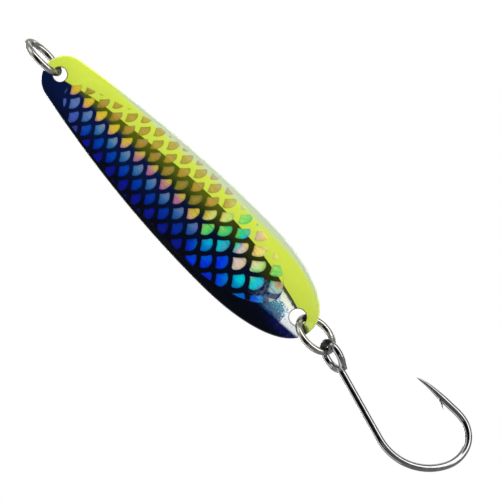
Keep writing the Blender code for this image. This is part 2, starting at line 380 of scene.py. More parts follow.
def lengths_along(path):
    total = 0.0
    lengths = [0.0]
    for a, b in zip(path, path[1:]):
        total += (b - a).length
        lengths.append(total)
    return lengths


def sweep_wire(name, path, radii, sides, materials):
    """Round tube along a path with domed ends. It keeps its own length and turn for the finish."""
    mesh_data = bmesh.new()
    along_layer = mesh_data.verts.layers.float.new("wire_along")
    around_layer = mesh_data.verts.layers.float.new("wire_around")
    lengths = lengths_along(path)
    side = None
    loops = []
    for index, point in enumerate(path):
        before = path[max(0, index - 1)]
        after = path[min(len(path) - 1, index + 1)]
        tangent = (after - before).normalized()
        side = tangent.orthogonal() if side is None else side - tangent * side.dot(tangent)
        side.normalize()
        other = tangent.cross(side)
        loop = []
        for i in range(sides):
            angle = 2 * pi * i / sides
            vert = mesh_data.verts.new(point + (side * cos(angle) + other * sin(angle)) * radii[index])
            vert[along_layer] = lengths[index] / MM
            vert[around_layer] = sin(angle)
            loop.append(vert)
        loops.append(loop)
    for loop, following in zip(loops, loops[1:]):
        for i in range(sides):
            j = (i + 1) % sides
            mesh_data.faces.new((loop[i], loop[j], following[j], following[i]))
    mesh_data.faces.new(loops[0])
    mesh_data.faces.new(loops[-1])
    return finish_mesh(name, mesh_data, materials)


def domed_ends(path, radius):
    """Radii along the path, with both ends rounded off over END_ROUND."""
    lengths = lengths_along(path)
    radii = []
    for length in lengths:
        near = min(length, lengths[-1] - length)
        left = max(0.0, 1 - near / END_ROUND)
        radii.append(radius - END_ROUND * (1 - sqrt(max(0.0, 1 - left * left))))
    return radii


def make_ring(name, center, turn, butt, materials):
    """Ring of round wire with a butt joint; turn sets its plane, and butt where in it the joint is."""
    near = Vector((-cos(turn), -sin(turn), 0.0))
    half_gap = RING_BUTT_GAP / 2 / RING_MIDDLE_RADIUS
    fine = END_ROUND / RING_MIDDLE_RADIUS
    span = 2 * pi - 2 * half_gap
    turns = [fine * i / 4 for i in range(4)]
    turns += [fine + (span - 2 * fine) * i / RING_STEPS for i in range(RING_STEPS + 1)]
    turns += [span - fine * (3 - i) / 4 for i in range(4)]
    path = []
    for turned in turns:
        angle = butt + half_gap + turned
        path.append(center + (near * sin(angle) - UP * cos(angle)) * RING_MIDDLE_RADIUS)
    return sweep_wire(name, path, domed_ends(path, RING_WIRE / 2), WIRE_SIDES, materials)


def trace(start, heading, moves):
    """Follow arcs and straight runs in a plane. A move is (angle, radius) or (0, length)."""
    x, y = start
    points = [start]
    for angle, size in moves:
        count = ceil(abs(angle) / ARC_STEP) if angle else ceil(size / STRAIGHT_STEP)
        for _ in range(count):
            turned = angle / count
            chord = 2 * size * sin(abs(turned) / 2) if angle else size / count
            x += chord * cos(heading + turned / 2)
            y += chord * sin(heading + turned / 2)
            heading += turned
            points.append((x, y))
    return points


def hook_path(eye_top):
    """Centre line from the eye's free end to the point, and the direction toward the shank."""
    down = Vector((-sin(HOOK_LEAN), 0.0, -cos(HOOK_LEAN)))
    flat = Vector((cos(HOOK_LEAN), 0.0, -sin(HOOK_LEAN)))
    away = Vector((0.0, 1.0, 0.0))
    toward_point = flat * cos(HOOK_TWIST) + away * sin(HOOK_TWIST)
    eye_side = flat * sin(HOOK_TWIST) - away * cos(HOOK_TWIST)
    entry = acos(EYE_ENTRY_RADIUS / (EYE_RADIUS + EYE_ENTRY_RADIUS))
    junction = eye_top + down * (EYE_RADIUS + (EYE_RADIUS + EYE_ENTRY_RADIUS) * sin(entry))
    leave = acos((EYE_EXIT_RADIUS + EYE_END_OFFSET) / (EYE_RADIUS + EYE_EXIT_RADIUS))
    eye = trace((0.0, 0.0), pi, [(entry, EYE_ENTRY_RADIUS), (-(pi + entry + leave), EYE_RADIUS),
                                 (leave, EYE_EXIT_RADIUS), (0, EYE_END_LENGTH)])
    arcs = [(radians(angle), radius * MM) for angle, radius in BEND]
    curl = (radians(POINT_CURL[0]), POINT_CURL[1] * MM)
    bend = trace((0.0, 0.0), 0.0, [(0, SHANK_LENGTH)] + arcs + [(0, POINT_LENGTH), curl])
    path = [junction + down * x + eye_side * y for x, y in reversed(eye)]
    path += [junction + down * x + toward_point * y for x, y in bend[1:]]
    return path, -toward_point


def point_back_from_tip(path, distance):
    for a, b in zip(reversed(path), reversed(path[:-1])):
        step = (b - a).length
        if distance <= step:
            return a + (b - a) * (distance / step)
        distance -= step
    return path[0]


def unite(obj, tool):
    """Boolean union, applied, so that one closed mesh is left."""
    modifier = obj.modifiers.new("Union", "BOOLEAN")
    modifier.operation = "UNION"
    modifier.solver = "EXACT"
    modifier.object = tool
    graph = bpy.context.evaluated_depsgraph_get()
    mesh = bpy.data.meshes.new_from_object(obj.evaluated_get(graph))
    obj.modifiers.clear()
    obj.data = mesh
    bpy.data.objects.remove(tool)
    mesh.set_sharp_from_angle(angle=SHARP_ANGLE)


def make_hook(materials):
    eye_top = hook_pivot + Vector((EYE_SHIFT, 0.0, RING_WIRE / 2 + HOOK_WIRE / 2 + LINK_GAP))
    path, inward = hook_path(eye_top)
    lengths = lengths_along(path)
    radii = []
    for length in lengths:
        eye_end = EYE_END_NARROW + (1 - EYE_END_NARROW) * min(1.0, length / EYE_END_TAPER)
        ground = min(1.0, (lengths[-1] - length) / POINT_TAPER) ** POINT_POWER
        radii.append(HOOK_WIRE / 2 * eye_end * max(POINT_NARROW, ground))
    hook = sweep_wire("open_eye_hook", path, radii, WIRE_SIDES, materials)
    tip = point_back_from_tip(path, BARB_TIP) + inward * BARB_RISE
    root = point_back_from_tip(path, BARB_ROOT) + inward * BARB_SINK
    last = len(BARB_SCALES) - 1
    line = [root.lerp(tip, i / last) for i in range(last + 1)]
    barb_radii = [BARB_WIDTH / 2 * scale for scale in BARB_SCALES]
    unite(hook, sweep_wire("barb", line, barb_radii, BARB_SIDES, materials))
    return hook


# ---------------------------------------------------------------- materials

def srgb(red, green, blue):
    """Linear colour from 0 to 255 display values."""
    channels = []
    for value in (red, green, blue):
        value /= 255
        channels.append(value / 12.92 if value <= 0.04045 else ((value + 0.055) / 1.055) ** 2.4)
    return (*channels, 1.0)


def operator(operation):
    """Method of a Value that adds a math node for it and what it is given."""
    return lambda value, *others: value.shader.math(operation, value, *others)


class Value:
    """A number in a node tree, for sums written with operators and for smooth steps."""

    def __init__(self, shader, socket):
        self.shader = shader
        self.socket = socket

    def __rsub__(self, other):
        return self.shader.math("SUBTRACT", other, self)

    __add__ = __radd__ = operator("ADD")
    __sub__ = operator("SUBTRACT")
    __mul__ = __rmul__ = operator("MULTIPLY")
    __truediv__ = operator("DIVIDE")
    __pow__ = operator("POWER")
    __abs__ = operator("ABSOLUTE")
    __round__ = operator("ROUND")
    root = operator("SQRT")
    fraction = operator("FRACT")
    at_least = operator("MAXIMUM")
    at_most = operator("MINIMUM")

    def smooth(self, low, high, start=0.0, end=1.0):
        """Smooth step from start to end as the value goes from low to high."""
        inputs = enumerate((self, low, high, start, end))
        return self.shader.values("ShaderNodeMapRange", (0,), inputs, interpolation_type="SMOOTHSTEP")[0]


class Shader:
    """A material's node tree, with short calls that take numbers, colours, Values or sockets."""

    def __init__(self, name, tree=None):
        if tree is None:
            self.material = bpy.data.materials.new(name)
            self.material.use_nodes = True
            tree = self.material.node_tree
            self.bsdf = tree.nodes["Principled BSDF"]
        self.tree = tree

    def put(self, socket, value):
        if isinstance(value, Value):
            value = value.socket
        if isinstance(value, bpy.types.NodeSocket):
            self.tree.links.new(value, socket)
        else:
            socket.default_value = value

    def node(self, kind, inputs=(), **settings):
        made = self.tree.nodes.new(kind)
        for name, value in settings.items():
            setattr(made, name, value)
        for key, value in dict(inputs).items():
            self.put(made.inputs[key], value)
        return made

    def values(self, kind, outputs, inputs=(), **settings):
        """Add a node, and return some of its outputs as Values."""
        made = self.node(kind, inputs, **settings)
        return [Value(self, made.outputs[key]) for key in outputs]

    def math(self, operation, *values):
        return self.values("ShaderNodeMath", (0,), enumerate(values), operation=operation)[0]

    def mix(self, factor, a, b, blend="MIX"):
        made = self.node("ShaderNodeMix", data_type="RGBA", blend_type=blend)
        self.put(made.inputs[0], factor)
        self.put(made.inputs[6], a)
        self.put(made.inputs[7], b)
        return made.outputs[2]

    def ramp(self, value, stops):
        """Colour from stops of (position, red, green, blue)."""
        made = self.tree.nodes.new("ShaderNodeValToRGB")
        elements = made.color_ramp.elements
        while len(elements) < len(stops):
            elements.new(0.5)
        for element, (position, *color) in zip(elements, stops):
            element.position = position
            element.color = srgb(*color)
        self.put(made.inputs[0], value)
        return made.outputs[0]

    def curve(self, value, points):
        """Height of a smooth curve through (x, y) points, with x and y from 0 to 1."""
        made = self.tree.nodes.new("ShaderNodeFloatCurve")
        line = made.mapping.curves[0]
        while len(line.points) < len(points):
            line.points.new(0.5, 0.5)
        for point, place in zip(line.points, points):
            point.location = place
            point.handle_type = "AUTO"
        made.mapping.update()
        self.put(made.inputs["Value"], value)
        return Value(self, made.outputs[0])

    def grey(self, level):
        return self.node("ShaderNodeCombineColor", {"Red": level, "Green": level, "Blue": level}).outputs[0]

    def tinted(self, color, level):
        """The colour made darker or lighter."""
        return self.mix(1.0, color, self.grey(level), "MULTIPLY")

    def vector(self, x, y, z=0.0):
        return self.node("ShaderNodeCombineXYZ", {"X": x, "Y": y, "Z": z}).outputs[0]

    def noise(self, vector, scale, detail):
        inputs = {"Vector": vector, "Scale": scale, "Detail": detail}
        return self.values("ShaderNodeTexNoise", ("Fac",), inputs)[0]

    def attribute(self, name):
        return self.values("ShaderNodeAttribute", ("Fac",), attribute_name=name)[0]

    def position(self):
        """Place at rest in millimetres: its vector, x, y and z."""
        place = self.node("ShaderNodeTexCoord").outputs["Object"]
        scaled = self.node("ShaderNodeVectorMath", {0: place, 3: 1 / MM}, operation="SCALE").outputs[0]
        return scaled, *self.values("ShaderNodeSeparateXYZ", (0, 1, 2), {0: scaled})

    def bump(self, height, distance):
        inputs = {"Height": height, "Distance": distance, "Strength": 1.0}
        return self.node("ShaderNodeBump", inputs).outputs[0]

    def surface(self, inputs):
        """Set the Principled BSDF's inputs, by name."""
        for name, value in inputs.items():
            self.put(self.bsdf.inputs[name], value)


# Places on the blade's print are in millimetres: u runs down the lure, v across it toward the yellow edge.
# A step is (low, high), or (low, high, start, end), for Value.smooth. A patch is its steps down the lure,
# then its steps across it, for patch. A texture is (scale, detail), for Shader.noise.
PRINT_TOP = 10.01
PRINT_SHIFT = 0.19
PRINT_YAW = radians(8.6)

# Yellow paint, masked along a curve
PAINT_SPAN = 90.0
PAINT_EDGE = ((0.0, -0.35), (1.9, 0.0), (6.0, 1.1), (11.9, 2.4), (17.9, 3.1), (29.8, 4.4), (38.1, 5.2),
              (47.7, 5.6), (59.6, 5.2), (65.5, 4.5), (71.5, 3.45), (78.6, 1.8), (84.0, -0.5), (86.5, -2.0))
PAINT_EDGE_SCALE = 10.0
OVERSPRAY = (5.0, 3.0)
OVERSPRAY_REACH = 0.30
YELLOW_MASK = (-0.12, 0.12)
CHARTREUSE = srgb(202, 219, 76)
MOTTLE_YELLOW = srgb(190, 212, 56)
MOTTLE = (0.5, 3.0)
MOTTLE_SHARE = 0.35
HEAD_YELLOW = srgb(214, 234, 79)
HEAD_YELLOW_FADES = (12.0, 0.0, 0.0, 0.6)

# Painted reflection: a pale band along the yellow edge
EDGE_REFLECTION = srgb(184, 196, 178)
EDGE_REFLECTION_WIDENS = (12.0, 34.0, 1.0, 2.3)
EDGE_REFLECTION_NARROWS = (58.0, 78.0, 0.0, 1.0)
EDGE_REFLECTION_SIDE = (1.15, 0.35)
EDGE_REFLECTION_STRETCH = ((8.0, 18.0, 0.0, 0.9), (86.0, 74.0)), ()

# Navy below the yellow, with olive where the yellow is thin over it
HEAD_NAVY = srgb(6, 22, 66)
TAIL_NAVY = srgb(2, 9, 36)
BLACK_NAVY = srgb(2, 5, 16)
NAVY_DEEPENS = (25.0, 60.0)
NAVY_BLACKENS = (-2.0, -9.0)
DEEP_OLIVE = srgb(28, 42, 20)
BRIGHT_OLIVE = srgb(82, 92, 14)
TAIL_OLIVE = srgb(12, 16, 12)
OLIVE_BRIGHTENS = (-4.6, -0.3)
OLIVE_DARKENS = (46.0, 58.0, 0.0, 0.7)
OLIVE_STARTS = (-0.3, 1.5)

# Fish scales: fans set out in two staggered lattices that open up toward the tail
SCALE_FIRST = 4.909
SCALE_PITCH = 4.313
SCALE_GROWTH = 1.575
SCALE_GROWTH_LENGTH = 67.77
SCALE_GROWTH_POWER = 3.4
ROW_SPACING = 2.502
ROW_SPREAD = 0.453
ROW_SPREAD_POWER = 3.0
ROW_MIDDLE = 0.548
ROW_SLANT = 0.019
ROW_DROP = 0.477
ROW_DROP_POWER = 6.0
ROW_SHEAR = 0.13
CELL_OFFSET = 0.22
SCALE_RADIUS = 2.03
BITE_RADIUS = 5.88
BITE_ALONG = 4.55
BITE_ACROSS = 4.065
CORNER_ROUND = 0.6
TIP_ROUND = 0.10

# Hologram's colours: rows across the blade toward the head, then a rainbow and blues toward the tail
ROW_HUES = ((0.10, 18, 20, 135), (0.19, 20, 28, 165), (0.21, 0, 48, 185), (0.29, 0, 88, 200),
            (0.31, 20, 105, 185), (0.35, 75, 135, 190), (0.395, 150, 165, 195), (0.41, 214, 152, 172),
            (0.435, 235, 195, 75), (0.49, 240, 220, 45), (0.51, 160, 135, 60), (0.55, 185, 155, 50),
            (0.59, 185, 160, 90), (0.61, 190, 150, 50), (0.65, 190, 165, 62), (0.69, 180, 160, 70),
            (0.71, 190, 165, 70), (0.75, 196, 176, 78), (0.85, 195, 165, 150))
RAINBOW = ((0.0, 240, 195, 150), (0.10, 255, 225, 80), (0.20, 250, 250, 140), (0.33, 120, 235, 105),
           (0.44, 50, 215, 140), (0.52, 0, 220, 240), (0.60, 70, 165, 205), (0.70, 130, 150, 175),
           (0.80, 175, 160, 175), (0.90, 225, 190, 185), (1.0, 240, 195, 150))
BLUES = ((0.0, 20, 18, 160), (0.25, 0, 48, 255), (0.5, 0, 98, 250), (0.75, 0, 160, 230),
         (1.0, 0, 225, 240))
ROW_COUNT = 10.0
LOWEST_ROW = -4.5
ROW_TINT = 0.24           # change of hue across one scale, per mm
ROW_WOBBLE = 0.35
ROW_TINT_LIMIT = 0.47
FAN_CENTER = 1.2
WOBBLE = (1.4, 3.0)
LOWER_ROWS = (-0.4, -0.6)
BLUSH_GOLD = srgb(214, 186, 82)
BLUSH_PINK = srgb(180, 98, 168)
BLUSH_ROW = (0.5, 0.4)
BLUSH_STRETCH = ((20.0, 29.0, 0.0, 0.8), (48.0, 40.0)), ()
BLUSH_TURNS = (0.30, -0.15)
VIOLET = srgb(108, 126, 204)
VIOLET_FADES = (15.0, 7.0, 0.0, 0.6)
DEEP_BLUE = srgb(14, 34, 158)
DEEP_BLUE_ROWS = (-0.5, -1.5)
DEEP_BLUE_STARTS = (18.0, 46.0, 0.0, 0.6)
SCALE_GREEN = srgb(116, 128, 44)
GREEN_ROW = (0.9, 0.4)
GREEN_STARTS = (24.0, 42.0, 0.0, 0.55)
COPPER = srgb(205, 138, 88)
COPPER_CORE = (-0.35, -1.0)
COPPER_WOBBLE = 0.8
COPPER_ROWS = (0.4, 0.6, 0.0, 0.45)

# Rainbow's phase: a slope down the lure, and what some patches add to it
PHASE_START = 0.12
PHASE_FROM = 45.3
PHASE_SLOPE = 0.0357
PHASE_PATCHES = ((((58.0, 60.0, 0.0, 0.42),), ()),
                 (((57.5, 58.5, 0.0, -0.20), (64.0, 62.5)), ((3.2, 2.4),)),
                 (((62.9, 67.2, 0.0, 0.16),), ((1.9, 0.5),)),
                 (((70.0, 72.5, 0.0, -0.30),), ((0.8, 1.8),)),
                 (((60.0, 56.0),), ((-0.5, 2.5, 0.05, -0.05),)))
PHASE_ACROSS = -0.012
PHASE_FAN = 0.06
PHASE_WOBBLE = 0.20
PHASE_JITTER = 0.05
PHASE_RAYS = 0.16
RAYS = (2.2, 2.0)
RAYS_PER_FAN = 3.0
SILVER = srgb(250, 248, 225)
SILVER_PATCH = ((57.8, 60.0), (67.6, 64.6, 0.0, 0.42)), ((3.6, 2.0, 0.25, 1.0),)
BLUE_LEVEL = 0.62
BLUE_WAVE_LENGTH = 11.4
BLUE_WAVE_TOP = 64.3
BLUE_WAVE_HEIGHT = (-8.5, -2.5, 0.08, 0.30)
BLUE_ACROSS = 0.055
BLUE_ACROSS_FROM = -2.9
BLUE_ALONG = 0.0168
BLUE_ALONG_FROM = 58.4
BLUE_WOBBLE = 0.25
BLUE_FAN = 0.08
TAIL_STARTS_LOW = (-1.2, 0.2, 47.7, 44.5)
TAIL_STARTS_HIGH = (0.4, 3.0, 0.0, 4.0)
TAIL_BLEND = (0.0, 6.0)
# painted reflection: pale cyan over the scales in a patch near the tail
SCALE_REFLECTION = srgb(176, 206, 200)
SCALE_REFLECTION_PATCH = ((70.0, 71.5, 0.0, 0.8),), ((3.4, 2.8), (-2.6, -1.6))
AMBER = srgb(204, 130, 40)
AMBER_PLACE = (72.1, 2.4)
AMBER_RADIUS = (1.3, 0.4, 0.0, 0.75)
AMBER_WOBBLE = 3.0
GLINT = (9.0, 2.0)
GLINT_LEVEL = (0.35, 0.75, 0.85, 1.12)
RAYS_LEVEL = (0.30, 0.70, 0.88, 1.10)
SCALE_SHADE = (0.05, -0.55, 0.80, 1.05)

# Film: where its scales show, and what shows between them
SCALE_EDGE = (0.13, -0.10)
SCALES_START = (3.0, 4.6)
SCALES_START_SLANT = 3.0
SCALES_START_ABOVE = 1.8
SCALES_BOTTOM = (-9.4, -8.7)
RIM_BARE = (0.05, 0.35)
RIM_COVERED = (60.0, 64.0)
YELLOW_OVER_SCALES = 0.16
EDGE_REFLECTION_OVER_SCALES = (7.5, 10.0, 0.0, 0.35)
# Painted reflection: streaky lighter blue between the scales in a patch near the tail
REFLECTION_STREAKS = (0.7, 3.0)
REFLECTION_STREAK_LEVEL = (0.45, 0.65)
REFLECTION_STREAK_DARK = srgb(12, 40, 96)
REFLECTION_STREAK_LIGHT = srgb(56, 118, 160)
REFLECTION_PATCH = ((67.0, 74.5, 0.0, 0.85),), ((1.6, 0.4), (-4.6, -3.6))
LINE_DARK = srgb(14, 34, 44)
SEAM_PLACE = 0.42
SEAM_WIDTH = (0.11, 0.04)
SEAM_STARTS = (43.0, 46.0, 0.0, 0.65)
END_LINE_WIDTH = (0.22, 0.10)
END_LINE_STARTS = (69.0, 72.0, 0.0, 0.7)
END_LINE_ABOVE = (0.6, 0.0, 0.25, 1.0)
FILM_METALLIC = 0.2
FILM_ROUGHNESS = (0.0, 1.0, 0.38, 0.24)
FILM_BUMP = 0.015 * MM

# Bare plated patch round the tail hole, painted as a reflection: white and cream highlight flecked with
# teal and blue
PLATE_GRAIN = ((1.1, 4.0), (4.5, 2.0))
HIGHLIGHT_DOWN = ((76.4, 80.4, 0.0, 0.28), (76.5, 74.5, 0.0, -0.03))
HIGHLIGHT_ACROSS = ((-0.8, 1.0, 0.0, 0.20), (-0.6, -2.6, 0.0, -0.09))
FLECKS = (0.53, 0.61)
DEEP_TEAL = srgb(40, 146, 166)
DEEP_LOW_BLUE = srgb(16, 76, 130)
DEEP_SIDE = (-1.0, -3.4)
SPECK_COLOR = srgb(8, 34, 62)
SPECKS = (2.6, 3.0)
SPECK_LEVEL = (0.52, 0.60)
SPECKS_END = (79.5, 77.0, 0.0, 0.85)
HIGHLIGHT_WHITE = srgb(244, 250, 252)
HIGHLIGHT_CREAM = srgb(246, 250, 222)
CREAM_SIDE = (-0.5, 1.2)
RAGGED_LINE = srgb(30, 42, 16)
RAGGED_WIDTH = (-0.95, -0.60, 0.0, 0.9)
RAGGED_REACH = 2.2
BARE_STRETCH = ((70.5, 74.0), (84.6, 83.8)), ()
BARE_TOP = (-0.15, -0.55)
BARE_BOTTOM = (-3.95, -3.15)
BARE_BOTTOM_FROM = 80.0
BARE_BOTTOM_SLOPE = 0.09
TIP_BLUE = srgb(6, 14, 88)
TIP_BLUE_SIDE = (-6.6, -3.9)
TIP_BLUE_STARTS = (74.0, 80.0)
# Painted shade: a dark band round the edge of each hole
HOLE_RIM_SHADE = srgb(26, 34, 14)
HOLE_RIM_SHADE_WIDTH = (0.26, 0.12, 0.0, 0.75)
# Painted shadow of the tail ring on the blade beside the tail hole
RING_SHADOW_COLOR = srgb(44, 56, 10)
RING_SHADOW_PLACE = (83.95, -1.05)
RING_SHADOW_SQUEEZE = 1.1
RING_SHADOW_RADIUS = (1.75, 1.0, 0.0, 0.85)
BARE_METALLIC = 0.3
BLADE_ROUGHNESS = (0.0, 1.0, 0.36, 0.20)
BLADE_TEXTURE = (3.0, 3.0)
BLADE_BUMP = 0.003 * MM

# Clear coat
COAT_ROUGHNESS = 0.04
BASE_SPECULAR = 0.04
ORANGE_PEEL = (0.9, 2.0)
ORANGE_PEEL_DEPTH = 0.02 * MM

# Back of the blade
SHEET_DARK = srgb(194, 192, 187)
SHEET_LIGHT = srgb(222, 220, 215)
SHEET_DULL = srgb(160, 154, 143)
MARKS = (2.0, 4.0)
MARKS_ACROSS = 6.0
MARKS_ALONG = 0.5
MARKS_ROUGHNESS = (0.3, 0.7, 0.10, 0.20)
PATCHES = (0.16, 3.0)
PATCH_TONE = (0.5, 0.75, 0.0, 0.35)
PATCH_ROUGHNESS = (0.5, 0.75, 0.0, 0.08)
WAVES = (0.18, 1.0)
WAVE_SHARE = 4.0
MARK_SHARE = 0.2
SHEET_BUMP = 0.03 * MM

# Wires: drawn lines and a cloudy sheen, and painted shade and dark reflection where the links meet
DRAWN = (1.0, 3.0)
DRAWN_AROUND = 9.0
DRAWN_ALONG = 0.35
CLOUD = (0.8, 3.0)
CLOUD_LEVEL = (0.3, 0.7)
WIRE_BUMP = 0.002 * MM
RING_TONES = (srgb(104, 102, 98), srgb(156, 154, 149))
RING_ROUGHNESS = (0.15, 0.26)
HOOK_TONES = (srgb(70, 70, 72), srgb(146, 146, 146))
HOOK_ROUGHNESS = (0.08, 0.16)
# Painted shade and dark reflection: near-black on the rings inside and behind the holes, and round the top
# of the hook's eye
CONTACT_SHADE = srgb(12, 12, 11)
CONTACT_SHADE_METALLIC = (0.3, 0.9, 1.0, 0.15)
CONTACT_SHADE_SPECULAR = (0.3, 0.9, 0.5, 0.06)
CONTACT_SHADE_ROUGHNESS = 0.25
CONTACT_SHADE_DROP = 0.5 * MM
CONTACT_SHADE_FADE = 0.9 * MM
RING_SHADE_FRONT = -1.5 * MM
HOOK_SHADE_FRONT = -20 * MM   # in front of the whole hook, so its painted shade goes all round
LINE_SHADE_REACH = 1.9 * MM
TAIL_SHADE_REACH = 1.2 * MM
EYE_SHADE_REACH = 1.25 * MM


def print_place(sh):
    vector, x, y, z = sh.position()
    u = z * -1.0 - PRINT_TOP
    v = x * cos(PRINT_YAW) + y * sin(PRINT_YAW) + PRINT_SHIFT
    return vector, u, v


def patch(u, v, down, across):
    """Soft-edged patch of the print: its steps down the lure and across it, multiplied."""
    return prod([u.smooth(*step) for step in down] + [v.smooth(*step) for step in across])


def distance_to(u, v, at_u, at_v, squeeze=1.0):
    """Distance of a place on the print from one point of it, in mm; squeeze makes v count for more."""
    down = u - at_u
    aside = (v - at_v) * squeeze
    return (down * down + aside * aside).root()


def paint_edge(sh, vector, u, v):
    """How far v is above the yellow paint's masked edge, in mm."""
    points = [(a / PAINT_SPAN, 0.5 + b / PAINT_EDGE_SCALE / 2) for a, b in PAINT_EDGE]
    height = sh.curve(u / PAINT_SPAN, points)
    edge = (height - 0.5) * (2 * PAINT_EDGE_SCALE)
    overspray = (sh.noise(vector, *OVERSPRAY) - 0.5) * OVERSPRAY_REACH
    return v - edge + overspray


def paint_colors(sh, vector, u, v):
    """Colour of the lacquer with a painted reflection along the yellow edge, how much of it is opaque
    yellow, and how far above the yellow's edge.
    """
    above = paint_edge(sh, vector, u, v)
    yellow = above.smooth(*YELLOW_MASK)
    navy = sh.mix(u.smooth(*NAVY_DEEPENS), HEAD_NAVY, TAIL_NAVY)
    navy = sh.mix(v.smooth(*NAVY_BLACKENS), navy, BLACK_NAVY)
    olive = sh.mix(above.smooth(*OLIVE_BRIGHTENS), DEEP_OLIVE, BRIGHT_OLIVE)
    olive = sh.mix(u.smooth(*OLIVE_DARKENS), olive, TAIL_OLIVE)
    olive = sh.mix(v.smooth(*OLIVE_STARTS), navy, olive)
    mottled = sh.mix(sh.noise(vector, *MOTTLE) * MOTTLE_SHARE, CHARTREUSE, MOTTLE_YELLOW)
    mottled = sh.mix(u.smooth(*HEAD_YELLOW_FADES), mottled, HEAD_YELLOW)
    # painted reflection: the yellow turns pale toward the blade's edge
    edge = sh.attribute("blade_edge_distance")
    width = u.smooth(*EDGE_REFLECTION_WIDENS) - u.smooth(*EDGE_REFLECTION_NARROWS)
    edge_reflection = (edge / width).smooth(*EDGE_REFLECTION_SIDE)
    yellow_with_reflection = sh.mix(edge_reflection * patch(u, v, *EDGE_REFLECTION_STRETCH), mottled, EDGE_REFLECTION)
    return sh.mix(yellow, olive, yellow_with_reflection), yellow, above


def lattice(sh, a, b, shift):
    """One of the two staggered sets of scales: signed gap to a scale's edge, its number and place in it."""
    along = a - shift / 2
    across = (b - shift) * 0.5
    column = round(along)
    row = round(across)
    x = (along - column) * SCALE_PITCH
    y = (across - row) * (2 * ROW_SPACING)
    disc = (x * x + y * y).root() - SCALE_RADIUS
    nx = x + BITE_ALONG
    ny = (y * y + TIP_ROUND ** 2).root() - BITE_ACROSS
    bite = BITE_RADIUS - (nx * nx + ny * ny).root()
    return sh.math("SMOOTH_MAX", disc, bite, CORNER_ROUND), column, row, x, y


def scale_cells(sh, u, v):
    """Gap to the nearest scale's edge (negative inside), its row, a random number for it, x and y in it."""
    share = u.at_least(0.0) / SCALE_GROWTH_LENGTH
    a = (u - SCALE_FIRST) / SCALE_PITCH - share ** SCALE_GROWTH_POWER * SCALE_GROWTH
    middle = ROW_MIDDLE - (u * ROW_SLANT + share ** ROW_DROP_POWER * ROW_DROP)
    b = (v - middle) / (ROW_SPACING + share ** ROW_SPREAD_POWER * ROW_SPREAD)
    a = a - b.at_least(0.0) * ROW_SHEAR + CELL_OFFSET
    first = lattice(sh, a, b, 0.0)
    second = lattice(sh, a, b, 1.0)
    use_second = sh.math("LESS_THAN", second[0], first[0])
    picked = []
    for one, two in zip(first, second):
        picked += sh.values("ShaderNodeMix", (0,), {0: use_second, 2: one, 3: two})
    gap, column, row, x, y = picked
    number = sh.vector(column, row, use_second)
    chance = sh.values("ShaderNodeTexWhiteNoise", ("Value",), {"Vector": number})[0]
    return gap, row * 2.0 + use_second, chance, x, y


def near_row(row, wanted, step):
    """1 in the wanted row and 0 in the others."""
    return abs(row - wanted).smooth(*step)


def head_hologram(sh, u, v, gap, row, y, wobble):
    """Colours toward the head: one hue to a row, from blue below to gold above."""
    inner = y * ROW_TINT + wobble * ROW_WOBBLE
    inner = inner.at_least(-ROW_TINT_LIMIT).at_most(ROW_TINT_LIMIT)
    color = sh.ramp((row + inner - LOWEST_ROW) / ROW_COUNT, ROW_HUES)
    blush = near_row(row, 0.0, BLUSH_ROW) * patch(u, v, *BLUSH_STRETCH)
    color = sh.mix(blush, color, sh.mix(inner.smooth(*BLUSH_TURNS), BLUSH_GOLD, BLUSH_PINK))
    violet = row.smooth(*LOWER_ROWS) * u.smooth(*VIOLET_FADES)
    color = sh.mix(violet, color, VIOLET)
    deep = row.smooth(*DEEP_BLUE_ROWS) * u.smooth(*DEEP_BLUE_STARTS)
    color = sh.mix(deep, color, DEEP_BLUE)
    green = near_row(row, 1.0, GREEN_ROW) * u.smooth(*GREEN_STARTS)
    color = sh.mix(green, color, SCALE_GREEN)
    core = (gap - wobble * COPPER_WOBBLE).smooth(*COPPER_CORE)
    return sh.mix(core * row.smooth(*COPPER_ROWS), color, COPPER)


def rainbow_phase(u, v, fan, wobble, chance, rays):
    """Place in the rainbow, of which the fraction counts."""
    phase = PHASE_START + (u - PHASE_FROM) * PHASE_SLOPE + v * PHASE_ACROSS
    for steps in PHASE_PATCHES:
        phase = phase + patch(u, v, *steps)
    phase = phase + fan * PHASE_FAN + wobble * PHASE_WOBBLE
    return phase + (chance - 0.5) * PHASE_JITTER + (rays - 0.5) * PHASE_RAYS


def tail_blue(sh, u, v, fan, wobble):
    """Place in the blues, which come and go in waves down the lure."""
    wave = sh.math("COSINE", (u - BLUE_WAVE_TOP) * (2 * pi / BLUE_WAVE_LENGTH))
    blue = BLUE_LEVEL + wave * v.smooth(*BLUE_WAVE_HEIGHT) + (v - BLUE_ACROSS_FROM) * BLUE_ACROSS
    return blue + (u - BLUE_ALONG_FROM) * BLUE_ALONG + wobble * BLUE_WOBBLE + fan * BLUE_FAN


def tail_hologram(sh, u, v, row, fan, wobble, chance, rays):
    """Colours toward the tail: a rainbow in the upper rows, blues in the lower ones, and a pale painted
    reflection over some scales.
    """
    phase = rainbow_phase(u, v, fan, wobble, chance, rays)
    color = sh.ramp(phase.fraction(), RAINBOW)
    color = sh.mix(patch(u, v, *SILVER_PATCH), color, SILVER)
    blues = sh.ramp(tail_blue(sh, u, v, fan, wobble), BLUES)
    color = sh.mix(row.smooth(*LOWER_ROWS), color, blues)
    # painted reflection over some scales near the tail
    color = sh.mix(patch(u, v, *SCALE_REFLECTION_PATCH), color, SCALE_REFLECTION)
    away = distance_to(u, v, *AMBER_PLACE) + wobble * AMBER_WOBBLE
    return sh.mix(away.smooth(*AMBER_RADIUS), color, AMBER)


